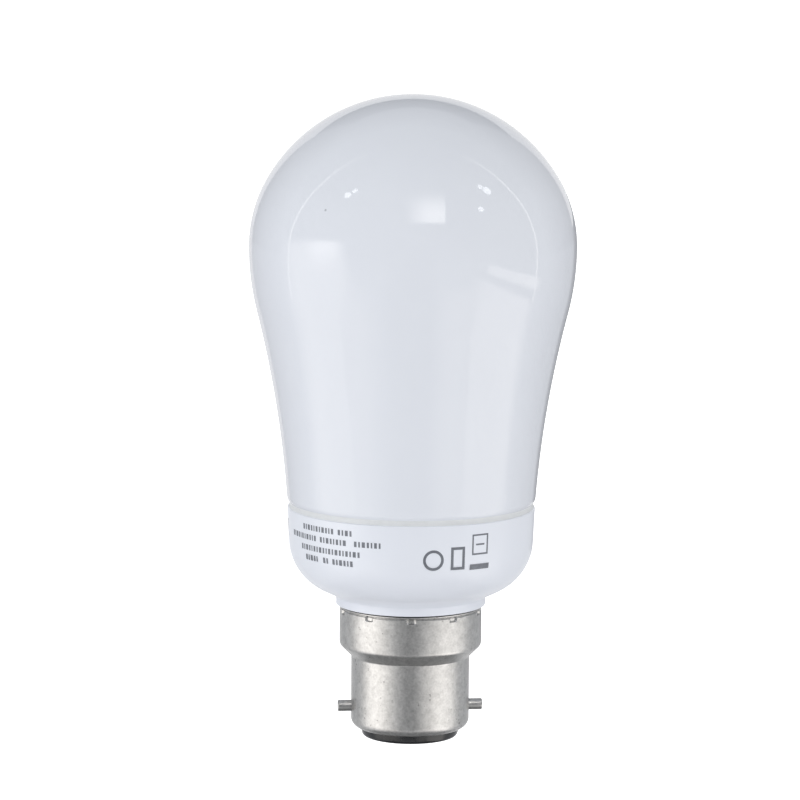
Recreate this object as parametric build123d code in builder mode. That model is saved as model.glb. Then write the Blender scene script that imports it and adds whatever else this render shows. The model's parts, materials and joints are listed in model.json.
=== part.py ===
from build123d import *
from math import radians, sin
import os

# Energy saving bulb on a bayonet cap, in millimetres. Z runs up the lamp's axis, from
# the plane of the two cap contacts (z = 0) to the top of the glass. The locking pins lie
# along X and the contacts along Y. First come the pieces that are seen, from the glass
# down to the contacts, then the tube holder and the ballast that the housing holds.

# Glass bulb, blown in one piece: three-centred dome, shoulder, long waist, neck
BULB_RADIUS = 30.15
BULB_EQUATOR_Z = 91.93
FLANK_ARC = 25.0
FLANK_TURN = 30.0
SHOULDER_ARC = 48.4
SHOULDER_TURN = 14.26
WAIST_ARC = 200.0
WAIST_TURN = 9.96
CORNER_ARC = 2.0
CORNER_TURN = 50.0
NECK_RADIUS = 21.2
NECK_TOP_Z = 43.3
NECK_FOOT_Z = 40.0

# Moulded housing: collar, rounded bowl, cone, flange over the cap, spigot in the cap
RIM_Z = 43.7
RIM_RADIUS = 22.93
RIM_EDGE = 0.25
COLLAR_RADIUS = 22.64
COLLAR_FOOT_Z = 37.13
BOWL_ARC = 10.05
BOWL_TURN = 61.8
FLANGE_RADIUS = 13.9
SEAM_Z = 25.4
HOUSING_WALL = 1.3
MOUTH_RADIUS = 21.63
LEDGE_Z = 38.6
LEDGE_HEIGHT = 0.8
LEDGE_RADIUS = 20.73
SPIGOT_FOOT_Z = 19.6
CRIMP_STEP_Z = 23.0
RIB_THICKNESS = 1.2
RIB_INNER_RADIUS = 16.8
RIB_OUTER_RADIUS = 21.2
RIB_SHOULDER_Z = 33.8
RIB_FOOT_Z = 29.2
RIB_ANGLES = [45, 135, 225, 315]

# Cap: drawn sheet shell with a wide skirt, a shoulder and the 22 mm bayonet barrel
SHEET = 0.35
SKIRT_RADIUS = 13.2
BARREL_RADIUS = 11.0
SKIRT_FOOT_Z = 17.8
BARREL_FOOT_Z = 3.8
BEND_RISE = 0.145
CURL_ARC = 1.8
CURL_TURN = 85.0
DIMPLES = 10
DIMPLE_START = -94.5
DIMPLE_Z = 24.4
DIMPLE_DEPTH = 0.45
DIMPLE_WIDTH = 1.4
DIMPLE_HEIGHT = 1.0
BUMP_WIDTH = 1.9
BUMP_HEIGHT = 1.5
PUNCH_TAPER = 40

# Locking pins, riveted into the barrel
PIN_RADIUS = 1.05
PIN_Z = 6.0
PIN_FOOT_X = 11.08
PIN_REACH = 13.5
SHANK_RADIUS = 0.6
PIN_CHAMFER = 0.15
PIN_HEAD_RADIUS = 1.5
PIN_HEAD = 0.7

# Glass insulator, contact plates let into its face, and the solder on them
INSULATOR_TOP_Z = 4.2
INSULATOR_FACE_Z = 0.35
INSULATOR_RADIUS = 9.2
INSULATOR_EDGE = 1.2
INSULATOR_BORE = 0.9
CONTACT_Y = 4.0
CONTACT_RADIUS = 2.6
CONTACT_SHEET = 0.4
CONTACT_FOOT_Z = 0.25
SOLDER_RADIUS = 1.9
SOLDER_TIP_RADIUS = 1.2
WIRE_FOOT_Z = 0.1

# Tube holder, and the circuit board between its posts and the housing's ribs
HOLDER_RADIUS = 21.5
POST_RADIUS = 1.2
POST_CIRCLE = 17.2
BOARD_RADIUS = 18.5
BOARD_TOP_Z = 36.0
BOARD_FOOT_Z = 34.8
LEAD_TOP_Z = 36.7
WIRE_RADIUS = 0.3
TAG = 0.5

# Ballast: places on the board as (x, y), sizes as (along, across, high)
TUBE_LEADS = [(-2.8, 15.8), (2.8, 15.8), (-2.8, -15.8), (2.8, -15.8)]
TUBE_LEAD_FOOT_Z = 34.2
TUBE_LEAD_BORE = 0.7
LIVE_PLACE = (8.6, -2.2)
NEUTRAL_PLACE = (-8.6, -2.2)
STAND_OFF = 0.4
SMOOTHING_PLACE = (0.0, -5.4)
SMOOTHING_RADIUS = 4.0
SMOOTHING_LENGTH = 16.5
SMOOTHING_PITCH = 3.5
SMOOTHING_EDGE = 0.5
CHOKE_PLACE = (0.0, 4.4)
CHOKE_CORE = (12.6, 5.0, 8.0)
CHOKE_CORE_TOP_Z = 33.8
CHOKE_LEG = 3.0
CHOKE_WINDOW = (3.3, 5.0)
BOBBIN_SIZE = (9.6, 8.8)
BOBBIN_WALL = 0.6
BOBBIN_RAIL = 1.7
BOBBIN_TAG_PITCH = (7.4, 7.1)
CHOKE_WINDING = (9.2, 8.2)
CHOKE_WINDING_ROUND = 1.0
RING_PLACE = (-12.6, 1.8)
RING_RADIUS = 4.1
RING_BORE = 2.2
RING_TOP_Z = 34.4
RING_HEIGHT = 3.2
RING_WINDINGS = 3
RING_WINDING_ARC = 50
RING_WIRE = 0.4
FILTER_PLACE = (13.4, -5.5)
FILTER_RADIUS = 2.6
FILTER_WAIST_RADIUS = 1.2
FILTER_HEIGHT = 4.2
FILTER_FLANGE = 0.8
TRANSISTOR_PLACES = [(11.6, 2.6), (9.8, 8.8)]
TRANSISTOR_RADIUS = 2.3
TRANSISTOR_FLAT = 1.5
TRANSISTOR_HEIGHT = 4.6
TRANSISTOR_PITCH = 1.27
FILM_SIZE = (7.2, 2.6, 5.0)
FILM_EDGE = 0.5
FILM_PITCH = 5.0
FILM_PLACES = {"starting_capacitor": ((-9.4, 9.3), 45), "coupling_capacitor": ((0.0, 13.4), 0)}
DISC_PLACE = (-11.3, -7.0)
DISC_TURN = -58
DISC_RADIUS = 2.4
DISC_THICKNESS = 2.2
DISC_PITCH = 2.5
DIODE_PLACES = [(-7.5, -11.0), (-2.5, -11.0), (2.5, -11.0), (7.5, -11.0)]
DIODE_SIZE = (2.6, 4.3, 2.1)
DIODE_TERMINAL = (1.4, 0.5, 1.0)
RESISTOR_PLACES = [(-14.0, -4.2), (14.6, 0.8), (14.0, 6.6), (-3.5, 11.4)]
RESISTOR_SIZE = (3.2, 1.6, 0.6)
TRIGGER_PLACE = (0.0, -0.8)
TRIGGER_RADIUS = 0.8
TRIGGER_LENGTH = 3.4
FUSIBLE_FOOT_Z = 19.4
FUSIBLE_LENGTH = 9.0
FUSIBLE_RADIUS = 1.6
WIRE_BEND = 4.0
WIRE_TURN_Z = 14.5
WIRE_FALL_Z = 8.0

barrel_inside = BARREL_RADIUS - SHEET
skirt_inside = SKIRT_RADIUS - SHEET
skirt_middle = SKIRT_RADIUS - SHEET / 2
barrel_top_z = SKIRT_FOOT_Z - (SKIRT_RADIUS - BARREL_RADIUS)
contact_top_z = CONTACT_FOOT_Z + CONTACT_SHEET
body_top_z = BOARD_FOOT_Z - STAND_OFF
tag_length = LEAD_TOP_Z - body_top_z

os.makedirs("parts", exist_ok=True)


def upright(angle):
    """The plane through the lamp's axis at an angle round it, local x out, local y up."""
    out = Vector(1, 0, 0).rotate(Axis.Z, angle)
    return Plane(origin=(0, 0, 0), x_dir=out, z_dir=out.rotate(Axis.Z, -90))


def facing(angle, distance, height):
    """The plane square to the radius at an angle, at a distance out, facing the axis."""
    out = Vector(1, 0, 0).rotate(Axis.Z, angle)
    origin = out * distance + Vector(0, 0, height)
    return Plane(origin=origin, x_dir=out.rotate(Axis.Z, 90), z_dir=out * -1)


def spot(place, turn=0):
    """A place on the board, turned in the board's plane by an angle."""
    return Location((*place, 0), (0, 0, turn))


# Glass bulb. The opal glass can't be seen into, so it is one closed solid, which holds
# the discharge tube. Its outline is one run of tangent arcs from the crown to the neck.
with BuildPart() as glass_bulb:
    with BuildSketch(Plane.XZ):
        with BuildLine():
            flank = JernArc((BULB_RADIUS, BULB_EQUATOR_Z), (0, 1), FLANK_ARC, FLANK_TURN)
            crown_arc = (flank @ 1).X / sin(radians(90 - FLANK_TURN))
            crown = JernArc(flank @ 1, flank % 1, crown_arc, 90 - FLANK_TURN)
            shoulder = JernArc(flank @ 0, (0, -1), SHOULDER_ARC, -SHOULDER_TURN)
            waist = JernArc(shoulder @ 1, shoulder % 1, WAIST_ARC, WAIST_TURN)
            corner = JernArc(waist @ 1, waist % 1, CORNER_ARC, -CORNER_TURN)
            Polyline(
                corner @ 1,
                (NECK_RADIUS, NECK_TOP_Z),
                (NECK_RADIUS, NECK_FOOT_Z),
                (0, NECK_FOOT_Z),
                crown @ 1,
            )
        make_face()
    revolve(axis=Axis.Z)

glass_bulb.part.label = "glass_bulb"
export_step(glass_bulb.part, "parts/glass_bulb.step")

# Cement between the glass neck and the housing's collar
with BuildPart() as bulb_cement:
    with BuildSketch(Plane.XY.offset(NECK_FOOT_Z)):
        Circle(MOUTH_RADIUS)
        Circle(NECK_RADIUS, mode=Mode.SUBTRACT)
    extrude(amount=NECK_TOP_Z - NECK_FOOT_Z)

bulb_cement.part.label = "bulb_cement"
export_step(bulb_cement.part, "parts/bulb_cement.step")

# Housing, outside: collar, bowl, cone and flange, then the spigot inside the cap's
# skirt, with the step that the cap's dimples are punched in behind
with BuildPart() as housing:
    with BuildSketch(Plane.XZ):
        with BuildLine():
            collar = Line((RIM_RADIUS, RIM_Z), (COLLAR_RADIUS, COLLAR_FOOT_Z))
            bowl = JernArc(collar @ 1, collar % 1, BOWL_ARC, -BOWL_TURN)
            flange = Line((FLANGE_RADIUS, SEAM_Z), (FLANGE_RADIUS, RIM_Z), mode=Mode.PRIVATE)
            cone = IntersectingLine(bowl @ 1, bowl % 1, flange)
            Polyline(
                cone @ 1,
                (FLANGE_RADIUS, SEAM_Z),
                (skirt_inside - DIMPLE_DEPTH, SEAM_Z),
                (skirt_inside - DIMPLE_DEPTH, CRIMP_STEP_Z),
                (skirt_inside, CRIMP_STEP_Z),
                (skirt_inside, SPIGOT_FOOT_Z),
                (0, SPIGOT_FOOT_Z),
                (0, RIM_Z),
                collar @ 0,
            )
        make_face()
    revolve(axis=Axis.Z)
    chamfer(housing.edges().group_by(Axis.Z)[-1], RIM_EDGE)

    # Inside: the mouth for the glass neck, a ledge under the tube holder, the bowl one
    # wall inside the outer one, and the spigot's bore
    with BuildSketch(Plane.XZ):
        with BuildLine():
            bowl_hub = bowl.arc_center
            wall_foot = bowl_hub + (bowl @ 0 - bowl_hub) * (1 - HOUSING_WALL / BOWL_ARC)
            inner_arc = BOWL_ARC - HOUSING_WALL
            inner_bowl = JernArc(
                wall_foot, collar % 1, inner_arc, -BOWL_TURN, mode=Mode.PRIVATE
            )
            bore_radius = skirt_inside - HOUSING_WALL
            bore = Line((bore_radius, SPIGOT_FOOT_Z), (bore_radius, RIM_Z), mode=Mode.PRIVATE)
            inner_cone = IntersectingLine(inner_bowl @ 1, inner_bowl % 1, bore)
            Polyline(
                inner_cone @ 1,
                (bore_radius, SPIGOT_FOOT_Z),
                (0, SPIGOT_FOOT_Z),
                (0, RIM_Z),
                (MOUTH_RADIUS, RIM_Z),
                (MOUTH_RADIUS, LEDGE_Z),
                (LEDGE_RADIUS, LEDGE_Z),
                (LEDGE_RADIUS, LEDGE_Z - LEDGE_HEIGHT),
                inner_bowl @ 0.3,
                inner_bowl @ 1,
            )
        make_face()
    revolve(axis=Axis.Z, mode=Mode.SUBTRACT)

    # Four ribs carry the circuit board
    for angle in RIB_ANGLES:
        with BuildSketch(upright(angle)):
            with BuildLine():
                Polyline(
                    (RIB_INNER_RADIUS, BOARD_FOOT_Z),
                    (RIB_OUTER_RADIUS, BOARD_FOOT_Z),
                    (RIB_OUTER_RADIUS, RIB_SHOULDER_Z),
                    (RIB_INNER_RADIUS, RIB_FOOT_Z),
                    close=True,
                )
            make_face()
        extrude(amount=RIB_THICKNESS / 2, both=True)

housing.part.label = "housing"
export_step(housing.part, "parts/housing.step")

# Cap shell: one drawn sheet, with a wide skirt, a shoulder, a barrel and a curled foot.
# Ten punched dimples hold it on the housing, and the two pins go through the barrel.
with BuildPart() as cap_shell:
    with BuildSketch(Plane.XZ):
        with BuildLine():
            outside = Polyline(
                (SKIRT_RADIUS, SEAM_Z),
                (SKIRT_RADIUS, SKIRT_FOOT_Z),
                (BARREL_RADIUS, barrel_top_z),
                (BARREL_RADIUS, BARREL_FOOT_Z),
            )
            curl = JernArc(outside @ 1, (0, -1), CURL_ARC, -CURL_TURN)
            curl_inside = JernArc(
                (barrel_inside, BARREL_FOOT_Z),
                (0, -1),
                CURL_ARC - SHEET,
                -CURL_TURN,
                mode=Mode.PRIVATE,
            )
            Polyline(
                curl @ 1,
                curl_inside @ 1,
                (barrel_inside, BARREL_FOOT_Z),
                (barrel_inside, barrel_top_z + BEND_RISE),
                (skirt_inside, SKIRT_FOOT_Z + BEND_RISE),
                (skirt_inside, SEAM_Z),
                (SKIRT_RADIUS, SEAM_Z),
            )
        make_face()
    revolve(axis=Axis.Z)
    punch_angles = [DIMPLE_START + n * 360 / DIMPLES for n in range(DIMPLES)]
    with BuildSketch(*[facing(angle, skirt_middle, DIMPLE_Z) for angle in punch_angles]):
        Rectangle(BUMP_WIDTH, BUMP_HEIGHT)
    extrude(amount=skirt_middle - skirt_inside + DIMPLE_DEPTH, taper=PUNCH_TAPER)
    with BuildSketch(*[facing(angle, SKIRT_RADIUS, DIMPLE_Z) for angle in punch_angles]):
        Rectangle(DIMPLE_WIDTH, DIMPLE_HEIGHT)
    extrude(amount=DIMPLE_DEPTH, taper=PUNCH_TAPER, mode=Mode.SUBTRACT)
    with BuildSketch(Plane.YZ):
        with Locations((0, PIN_Z)):
            Circle(SHANK_RADIUS)
    extrude(amount=PIN_REACH, both=True, mode=Mode.SUBTRACT)

cap_shell.part.label = "cap_shell"
export_step(cap_shell.part, "parts/cap_shell.step")

# Locking pins: a turned stud whose shank goes through the barrel, to a head inside that
# is shaped to the barrel's wall
for number, side in enumerate((1, -1), start=1):
    with BuildPart() as locking_pin:
        with BuildSketch(Plane.YZ.offset(side * (barrel_inside - PIN_HEAD))):
            with Locations((0, PIN_Z)):
                Circle(PIN_HEAD_RADIUS)
        extrude(amount=side * 2 * PIN_HEAD)
        Cylinder(barrel_inside, 2 * SEAM_Z, mode=Mode.INTERSECT)
        with BuildSketch(Plane.YZ.offset(side * (barrel_inside - PIN_HEAD))):
            with Locations((0, PIN_Z)):
                Circle(SHANK_RADIUS)
        extrude(amount=side * (PIN_FOOT_X - barrel_inside + PIN_HEAD))
        with BuildSketch(Plane.YZ.offset(side * PIN_FOOT_X)):
            with Locations((0, PIN_Z)):
                Circle(PIN_RADIUS)
        extrude(amount=side * (PIN_REACH - PIN_FOOT_X))
        tip = locking_pin.faces().sort_by(Axis.X)[-1 if side > 0 else 0]
        chamfer(tip.edges(), PIN_CHAMFER)

    locking_pin.part.label = f"locking_pin_{number}"
    export_step(locking_pin.part, f"parts/locking_pin_{number}.step")

# Black glass insulator, fused into the curled foot of the shell, with two wire bores
# that open into round seats for the contact plates
with BuildPart() as cap_insulator:
    with BuildSketch(Plane.XZ):
        with BuildLine():
            Polyline(
                (0, INSULATOR_TOP_Z),
                (barrel_inside, INSULATOR_TOP_Z),
                (barrel_inside, BARREL_FOOT_Z),
                curl_inside @ 1,
                (INSULATOR_RADIUS, INSULATOR_FACE_Z + INSULATOR_EDGE),
                (INSULATOR_RADIUS - INSULATOR_EDGE, INSULATOR_FACE_Z),
                (0, INSULATOR_FACE_Z),
                close=True,
            )
        make_face()
    revolve(axis=Axis.Z)
    with BuildSketch(Plane.XY.offset(INSULATOR_FACE_Z)):
        with Locations((0, CONTACT_Y), (0, -CONTACT_Y)):
            Circle(CONTACT_RADIUS)
    extrude(amount=contact_top_z - INSULATOR_FACE_Z, mode=Mode.SUBTRACT)
    with BuildSketch(Plane.XY.offset(contact_top_z)):
        with Locations((0, CONTACT_Y), (0, -CONTACT_Y)):
            Circle(INSULATOR_BORE)
    extrude(amount=INSULATOR_TOP_Z - contact_top_z, mode=Mode.SUBTRACT)

cap_insulator.part.label = "cap_insulator"
export_step(cap_insulator.part, "parts/cap_insulator.step")

# Contact plates, each with the hole that its wire comes through, and the solder mound
# that closes the hole and touches the holder's spring contact
for number, contact_y in enumerate((CONTACT_Y, -CONTACT_Y), start=1):
    with BuildPart() as contact_plate:
        with BuildSketch(Plane.XY.offset(CONTACT_FOOT_Z)):
            with Locations((0, contact_y)):
                Circle(CONTACT_RADIUS)
                Circle(WIRE_RADIUS, mode=Mode.SUBTRACT)
        extrude(amount=CONTACT_SHEET)

    contact_plate.part.label = f"contact_plate_{number}"
    export_step(contact_plate.part, f"parts/contact_plate_{number}.step")

    with BuildPart() as contact_solder:
        with BuildSketch(Plane((0, contact_y, 0), x_dir=(1, 0, 0), z_dir=(0, -1, 0))):
            with BuildLine():
                Polyline(
                    (SOLDER_TIP_RADIUS, 0),
                    (0, 0),
                    (0, WIRE_FOOT_Z),
                    (WIRE_RADIUS, WIRE_FOOT_Z),
                    (WIRE_RADIUS, CONTACT_FOOT_Z),
                    (SOLDER_RADIUS, CONTACT_FOOT_Z),
                    close=True,
                )
            make_face()
        revolve(axis=Axis((0, contact_y, 0), (0, 0, 1)))

    contact_solder.part.label = f"contact_solder_{number}"
    export_step(contact_solder.part, f"parts/contact_solder_{number}.step")

# Tube holder: the disc that closes the housing under the glass. Its four posts press
# the circuit board on the ribs, and the tube's wires come down through four bores.
with BuildPart() as tube_holder:
    with BuildSketch(Plane.XY.offset(LEDGE_Z)):
        Circle(HOLDER_RADIUS)
        with Locations(*TUBE_LEADS):
            Circle(TUBE_LEAD_BORE, mode=Mode.SUBTRACT)
    extrude(amount=NECK_FOOT_Z - LEDGE_Z)
    with BuildSketch(Plane.XY.offset(BOARD_TOP_Z)):
        with PolarLocations(POST_CIRCLE, len(RIB_ANGLES), start_angle=RIB_ANGLES[0]):
            Circle(POST_RADIUS)
    extrude(amount=LEDGE_Z - BOARD_TOP_Z)

tube_holder.part.label = "tube_holder"
export_step(tube_holder.part, "parts/tube_holder.step")

# The discharge tube's wires, from the glass down through the board
for number, place in enumerate(TUBE_LEADS, start=1):
    with BuildPart() as tube_lead:
        with BuildSketch(Plane.XY.offset(TUBE_LEAD_FOOT_Z)):
            with Locations(place):
                Circle(WIRE_RADIUS)
        extrude(amount=NECK_FOOT_Z - TUBE_LEAD_FOOT_Z)

    tube_lead.part.label = f"tube_lead_{number}"
    export_step(tube_lead.part, f"parts/tube_lead_{number}.step")

# Circuit board, bored for the round wires and slotted for the square tags of its parts
with BuildPart() as circuit_board:
    with BuildSketch(Plane.XY.offset(BOARD_FOOT_Z)):
        Circle(BOARD_RADIUS)
        with Locations(*TUBE_LEADS, LIVE_PLACE, NEUTRAL_PLACE):
            Circle(WIRE_RADIUS, mode=Mode.SUBTRACT)
        with Locations(spot(SMOOTHING_PLACE)):
            with GridLocations(SMOOTHING_PITCH, 0, 2, 1):
                Circle(WIRE_RADIUS, mode=Mode.SUBTRACT)
        with Locations(spot(CHOKE_PLACE)):
            with GridLocations(BOBBIN_TAG_PITCH[0], BOBBIN_TAG_PITCH[1], 2, 2):
                Rectangle(TAG, TAG, mode=Mode.SUBTRACT)
        with Locations(*[spot(place) for place in TRANSISTOR_PLACES]):
            with GridLocations(TRANSISTOR_PITCH, 0, 3, 1):
                Rectangle(TAG, TAG, mode=Mode.SUBTRACT)
        with Locations(*[spot(place, turn) for place, turn in FILM_PLACES.values()]):
            with GridLocations(FILM_PITCH, 0, 2, 1):
                Rectangle(TAG, TAG, mode=Mode.SUBTRACT)
        with Locations(spot(DISC_PLACE, DISC_TURN)):
            with GridLocations(DISC_PITCH, 0, 2, 1):
                Rectangle(TAG, TAG, mode=Mode.SUBTRACT)
    extrude(amount=BOARD_TOP_Z - BOARD_FOOT_Z)

circuit_board.part.label = "circuit_board"
export_step(circuit_board.part, "parts/circuit_board.step")

# Smoothing capacitor: a can that hangs down into the cap, on two wires
with BuildPart() as smoothing_capacitor:
    with BuildSketch(Plane.XY.offset(body_top_z)):
        with Locations(SMOOTHING_PLACE):
            Circle(SMOOTHING_RADIUS)
    extrude(amount=-SMOOTHING_LENGTH)
    chamfer(smoothing_capacitor.edges().group_by(Axis.Z)[0], SMOOTHING_EDGE)
    with BuildSketch(Plane.XY.offset(body_top_z)):
        with Locations(spot(SMOOTHING_PLACE)):
            with GridLocations(SMOOTHING_PITCH, 0, 2, 1):
                Circle(WIRE_RADIUS)
    extrude(amount=tag_length)

smoothing_capacitor.part.label = "smoothing_capacitor"
export_step(smoothing_capacitor.part, "parts/smoothing_capacitor.step")

# Choke: a core of two E halves round a bobbin, which stands on the board by its rails
choke_middle_z = CHOKE_CORE_TOP_Z - CHOKE_CORE[2] / 2
choke_plane = Plane((*CHOKE_PLACE, choke_middle_z), x_dir=(1, 0, 0), z_dir=(0, -1, 0))
with BuildPart() as choke_core:
    with BuildSketch(choke_plane):
        Rectangle(CHOKE_CORE[0], CHOKE_CORE[2])
        with GridLocations(CHOKE_LEG + CHOKE_WINDOW[0], 0, 2, 1):
            Rectangle(*CHOKE_WINDOW, mode=Mode.SUBTRACT)
    extrude(amount=CHOKE_CORE[1] / 2, both=True)

choke_core.part.label = "choke_core"
export_step(choke_core.part, "parts/choke_core.step")

window_foot_z = choke_middle_z - CHOKE_WINDOW[1] / 2
window_top_z = choke_middle_z + CHOKE_WINDOW[1] / 2
with BuildPart() as choke_bobbin:
    with BuildSketch(Plane.XY.offset(window_foot_z)):
        with Locations(CHOKE_PLACE):
            Rectangle(CHOKE_LEG + 2 * BOBBIN_WALL, CHOKE_CORE[1] + 2 * BOBBIN_WALL)
    extrude(amount=CHOKE_WINDOW[1])
    for flange_z in (window_foot_z, window_top_z - BOBBIN_WALL):
        with BuildSketch(Plane.XY.offset(flange_z)):
            with Locations(CHOKE_PLACE):
                Rectangle(*BOBBIN_SIZE)
        extrude(amount=BOBBIN_WALL)
    with BuildSketch(Plane.XY.offset(window_top_z)):
        with Locations(spot(CHOKE_PLACE)):
            with GridLocations(0, BOBBIN_SIZE[1] - BOBBIN_RAIL, 1, 2):
                Rectangle(BOBBIN_SIZE[0], BOBBIN_RAIL)
    extrude(amount=BOARD_FOOT_Z - window_top_z)
    with BuildSketch(Plane.XY.offset(window_foot_z)):
        with Locations(CHOKE_PLACE):
            Rectangle(CHOKE_LEG, CHOKE_CORE[1])
    extrude(amount=CHOKE_WINDOW[1], mode=Mode.SUBTRACT)
    with BuildSketch(Plane.XY.offset(BOARD_FOOT_Z)):
        with Locations(spot(CHOKE_PLACE)):
            with GridLocations(BOBBIN_TAG_PITCH[0], BOBBIN_TAG_PITCH[1], 2, 2):
                Rectangle(TAG, TAG)
    extrude(amount=LEAD_TOP_Z - BOARD_FOOT_Z)

choke_bobbin.part.label = "choke_bobbin"
export_step(choke_bobbin.part, "parts/choke_bobbin.step")

with BuildPart() as choke_winding:
    with BuildSketch(Plane.XY.offset(window_foot_z + BOBBIN_WALL)):
        with Locations(CHOKE_PLACE):
            RectangleRounded(*CHOKE_WINDING, CHOKE_WINDING_ROUND)
            Rectangle(
                CHOKE_LEG + 2 * BOBBIN_WALL, CHOKE_CORE[1] + 2 * BOBBIN_WALL, mode=Mode.SUBTRACT
            )
    extrude(amount=CHOKE_WINDOW[1] - 2 * BOBBIN_WALL)

choke_winding.part.label = "choke_winding"
export_step(choke_winding.part, "parts/choke_winding.step")

# Ring transformer that drives the transistors: a ferrite ring with three windings, each
# a band of turns wrapped closely round the ring's section
with BuildPart() as ring_core:
    with BuildSketch(Plane.XY.offset(RING_TOP_Z - RING_HEIGHT)):
        with Locations(RING_PLACE):
            Circle(RING_RADIUS)
            Circle(RING_BORE, mode=Mode.SUBTRACT)
    extrude(amount=RING_HEIGHT)

ring_core.part.label = "ring_core"
export_step(ring_core.part, "parts/ring_core.step")

ring_axis = Axis((*RING_PLACE, 0), (0, 0, 1))
ring_section = (RING_RADIUS - RING_BORE, RING_HEIGHT)
ring_middle = ((RING_RADIUS + RING_BORE) / 2, RING_TOP_Z - RING_HEIGHT / 2)
for number in range(1, RING_WINDINGS + 1):
    start = upright(number * 360 / RING_WINDINGS)
    with BuildPart() as ring_winding:
        with BuildSketch(Plane((*RING_PLACE, 0), x_dir=start.x_dir, z_dir=start.z_dir)):
            with Locations(ring_middle):
                Rectangle(ring_section[0] + 2 * RING_WIRE, ring_section[1] + 2 * RING_WIRE)
                Rectangle(*ring_section, mode=Mode.SUBTRACT)
        revolve(axis=ring_axis, revolution_arc=RING_WINDING_ARC)

    ring_winding.part.label = f"ring_winding_{number}"
    export_step(ring_winding.part, f"parts/ring_winding_{number}.step")

# Filter choke: a drum core with its winding in the waist
filter_foot_z = BOARD_FOOT_Z - FILTER_HEIGHT
with BuildPart() as filter_core:
    with BuildSketch(Plane.XY.offset(filter_foot_z)):
        with Locations(FILTER_PLACE):
            Circle(FILTER_RADIUS)
    extrude(amount=FILTER_HEIGHT)
    with BuildSketch(Plane.XY.offset(filter_foot_z + FILTER_FLANGE)):
        with Locations(FILTER_PLACE):
            Circle(FILTER_RADIUS)
            Circle(FILTER_WAIST_RADIUS, mode=Mode.SUBTRACT)
    extrude(amount=FILTER_HEIGHT - 2 * FILTER_FLANGE, mode=Mode.SUBTRACT)

filter_core.part.label = "filter_core"
export_step(filter_core.part, "parts/filter_core.step")

with BuildPart() as filter_winding:
    with BuildSketch(Plane.XY.offset(filter_foot_z + FILTER_FLANGE)):
        with Locations(FILTER_PLACE):
            Circle(FILTER_RADIUS - WIRE_RADIUS)
            Circle(FILTER_WAIST_RADIUS, mode=Mode.SUBTRACT)
    extrude(amount=FILTER_HEIGHT - 2 * FILTER_FLANGE)

filter_winding.part.label = "filter_winding"
export_step(filter_winding.part, "parts/filter_winding.step")

# Switching transistors: round bodies with one flat side, on three tags
for number, place in enumerate(TRANSISTOR_PLACES, start=1):
    with BuildPart() as transistor:
        with BuildSketch(Plane.XY.offset(body_top_z)):
            with Locations(place):
                Circle(TRANSISTOR_RADIUS)
            with Locations((place[0], place[1] - TRANSISTOR_FLAT)):
                Rectangle(
                    2 * TRANSISTOR_RADIUS,
                    TRANSISTOR_RADIUS,
                    align=(Align.CENTER, Align.MAX),
                    mode=Mode.SUBTRACT,
                )
        extrude(amount=-TRANSISTOR_HEIGHT)
        with BuildSketch(Plane.XY.offset(body_top_z)):
            with Locations(spot(place)):
                with GridLocations(TRANSISTOR_PITCH, 0, 3, 1):
                    Rectangle(TAG, TAG)
        extrude(amount=tag_length)

    transistor.part.label = f"transistor_{number}"
    export_step(transistor.part, f"parts/transistor_{number}.step")

# Film capacitors: dipped blocks on two tags
for name, (place, turn) in FILM_PLACES.items():
    with BuildPart() as film_capacitor:
        with BuildSketch(Plane.XY.offset(body_top_z)):
            with Locations(spot(place, turn)):
                Rectangle(FILM_SIZE[0], FILM_SIZE[1])
        extrude(amount=-FILM_SIZE[2])
        chamfer(film_capacitor.edges(), FILM_EDGE)
        with BuildSketch(Plane.XY.offset(body_top_z)):
            with Locations(spot(place, turn)):
                with GridLocations(FILM_PITCH, 0, 2, 1):
                    Rectangle(TAG, TAG)
        extrude(amount=tag_length)

    film_capacitor.part.label = name
    export_step(film_capacitor.part, f"parts/{name}.step")

# Disc capacitor, standing on edge on two tags
with BuildPart() as disc_capacitor:
    across = spot(DISC_PLACE, DISC_TURN).x_axis.direction
    disc_origin = (*DISC_PLACE, body_top_z - DISC_RADIUS)
    disc_plane = Plane(disc_origin, x_dir=across, z_dir=across.rotate(Axis.Z, -90))
    with BuildSketch(disc_plane):
        Circle(DISC_RADIUS)
    extrude(amount=DISC_THICKNESS / 2, both=True)
    with BuildSketch(Plane.XY.offset(body_top_z - DISC_RADIUS)):
        with Locations(spot(DISC_PLACE, DISC_TURN)):
            with GridLocations(DISC_PITCH, 0, 2, 1):
                Rectangle(TAG, TAG)
    extrude(amount=LEAD_TOP_Z - body_top_z + DISC_RADIUS)

disc_capacitor.part.label = "disc_capacitor"
export_step(disc_capacitor.part, "parts/disc_capacitor.step")

# Rectifier: four moulded diodes on the upper side of the board, on folded terminals
for number, place in enumerate(DIODE_PLACES, start=1):
    with BuildPart() as rectifier_diode:
        with BuildSketch(Plane.XY.offset(BOARD_TOP_Z)):
            with Locations(place):
                Rectangle(DIODE_SIZE[0], DIODE_SIZE[1])
        extrude(amount=DIODE_SIZE[2])
        chamfer(rectifier_diode.edges().group_by(Axis.Z)[-1], DIODE_TERMINAL[1] / 2)
        with BuildSketch(Plane.XY.offset(BOARD_TOP_Z)):
            with Locations(spot(place)):
                with GridLocations(0, DIODE_SIZE[1] + DIODE_TERMINAL[1], 1, 2):
                    Rectangle(DIODE_TERMINAL[0], DIODE_TERMINAL[1])
        extrude(amount=DIODE_TERMINAL[2])

    rectifier_diode.part.label = f"rectifier_diode_{number}"
    export_step(rectifier_diode.part, f"parts/rectifier_diode_{number}.step")

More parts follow.
